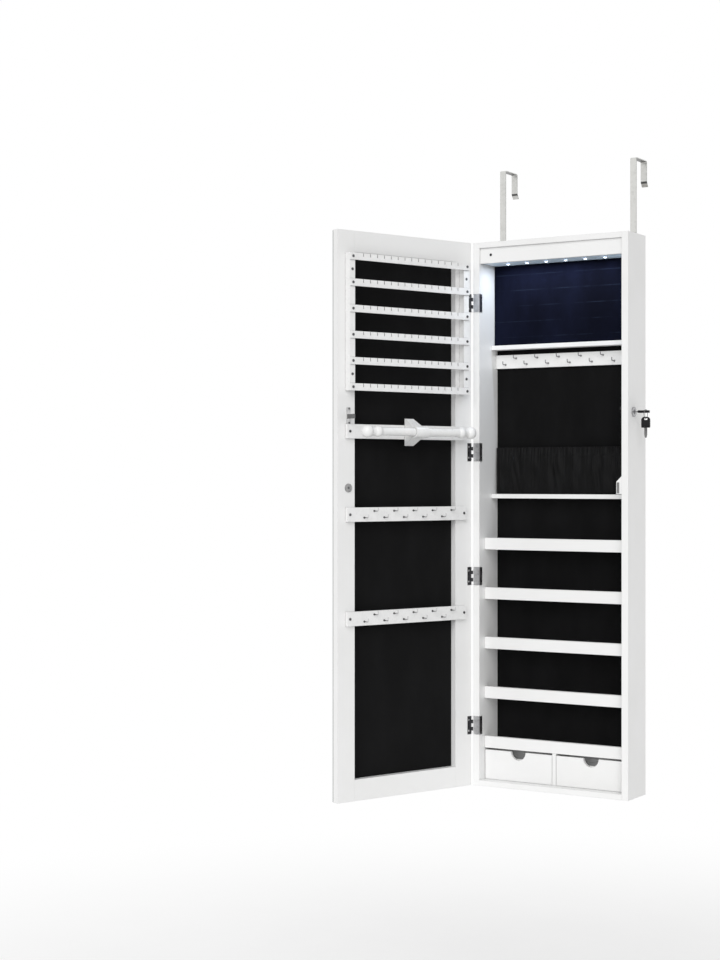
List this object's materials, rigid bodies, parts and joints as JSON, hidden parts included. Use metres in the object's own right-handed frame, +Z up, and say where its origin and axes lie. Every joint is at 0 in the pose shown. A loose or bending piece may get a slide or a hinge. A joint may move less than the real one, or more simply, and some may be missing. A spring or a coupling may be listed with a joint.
{
  "type": "jewelry cabinet",
  "caption": "Wall-hung jewelry cabinet: shallow white case with lit shelves, racks and drawers, over-door straps and a locking mirror door that carries earring bars, hooks and a bracelet bar.",
  "frame": {"origin": "on the back plane that lies against the wall or house door, at the middle of the carcass's underside", "axes": "+X to the right seen from the front, +Y to the wall, +Z up; the door is stored open by 110 degrees"},
  "size_m": [0.558, 0.5049, 1.371],
  "materials": {
    "white_lacquer": "satin white lacquer on fibreboard",
    "hardboard": "plain hardboard",
    "black_velvet": "short-pile velvet on board",
    "black_cloth": "gathered cloth with an elastic hem",
    "grey_felt": "felt lining",
    "mirror": "silvered glass",
    "white_plastic": "white moulded plastic",
    "dark_steel": "dark plated wire",
    "hinge_steel": "plated steel sheet",
    "strap_steel": "brushed steel strip",
    "screw_black": "blackened screws",
    "magnet": "sintered magnet",
    "lock_metal": "dark nickel",
    "key_plastic": "black moulded key bow",
    "key_metal": "nickel-plated brass",
    "lamp_lens": "frosted lamp lens",
    "sensor_lens": "dark sensor lens",
    "circuit_board": "white lamp board",
    "battery_case": "black battery case"
  },
  "bodies": {
    "cabinet": {"left_side_panel": "white_lacquer", "right_side_panel": "white_lacquer", "top_panel": "white_lacquer", "bottom_panel": "white_lacquer", "back_board": "hardboard", "back_lining": "black_velvet", "upper_lining_panel": "black_velvet", "upper_shelf": "white_lacquer", "middle_shelf": "white_lacquer", "rack_boards": "white_lacquer", "rack_rails": "white_lacquer", "drawer_divider": "white_lacquer", "hanging_rail": "white_lacquer", "light_fascia": "white_lacquer", "light_soffit": "white_lacquer", "light_board": "circuit_board", "light_lenses": "lamp_lens", "door_sensor": "sensor_lens", "battery_box": "battery_case", "necklace_hook_rail": "white_plastic", "necklace_hooks": "dark_steel", "necklace_pouch": "black_cloth", "catch_body": "white_plastic", "catch_magnet": "magnet", "lock_barrel": "lock_metal", "lock_nut": "lock_metal", "hanging_straps": "strap_steel", "strap_screws": "strap_steel", "hinge_cabinet_leaves": "hinge_steel", "hinge_pins": "hinge_steel", "hinge_cabinet_screws": "hinge_steel"},
    "door": {"door_stiles": "white_lacquer", "door_rails": "white_lacquer", "mirror_glass": "mirror", "door_lining": "black_velvet", "hinge_door_leaves": "hinge_steel", "hinge_door_screws": "hinge_steel", "earring_brackets": "white_plastic", "earring_bars": "white_plastic", "bracelet_rail": "white_plastic", "bracelet_support": "white_plastic", "bracelet_bar": "white_plastic", "door_hook_rails": "white_plastic", "door_hooks": "dark_steel", "door_fitting_screws": "screw_black", "lock_strike": "lock_metal", "catch_plate": "hinge_steel"},
    "drawer_left": {"drawer_left_front": "white_lacquer", "drawer_left_box": "white_lacquer", "drawer_left_felt": "grey_felt"},
    "drawer_right": {"drawer_right_front": "white_lacquer", "drawer_right_box": "white_lacquer", "drawer_right_felt": "grey_felt"},
    "lock_core": {"lock_plug": "lock_metal", "lock_cam": "lock_metal", "key_blade": "key_metal", "key_bow": "key_plastic"},
    "spare_key": {"key_ring": "key_metal", "spare_key_bow": "key_plastic", "spare_key_blade": "key_metal"}
  },
  "joints": [
    {"name": "door_hinge", "type": "hinge", "parent": "cabinet", "child": "door", "pos_m": [-0.1877, -0.093, 0.6], "axis": [0, 0, -1], "range_deg": [-110, 70]},
    {"name": "drawer_left_slide", "type": "slide", "parent": "cabinet", "child": "drawer_left", "axis": [0, -1, 0], "range_m": [0, 0.042]},
    {"name": "drawer_right_slide", "type": "slide", "parent": "cabinet", "child": "drawer_right", "axis": [0, -1, 0], "range_m": [0, 0.042]},
    {"name": "key_turn", "type": "hinge", "parent": "cabinet", "child": "lock_core", "pos_m": [0.1875, -0.064, 0.82], "axis": [1, 0, 0], "range_deg": [0, 90]},
    {"name": "spare_key_swing", "type": "hinge", "parent": "lock_core", "child": "spare_key", "pos_m": [0.2159, -0.071, 0.82], "axis": [-1, 0, 0], "range_deg": [-15, 90]}
  ]
}
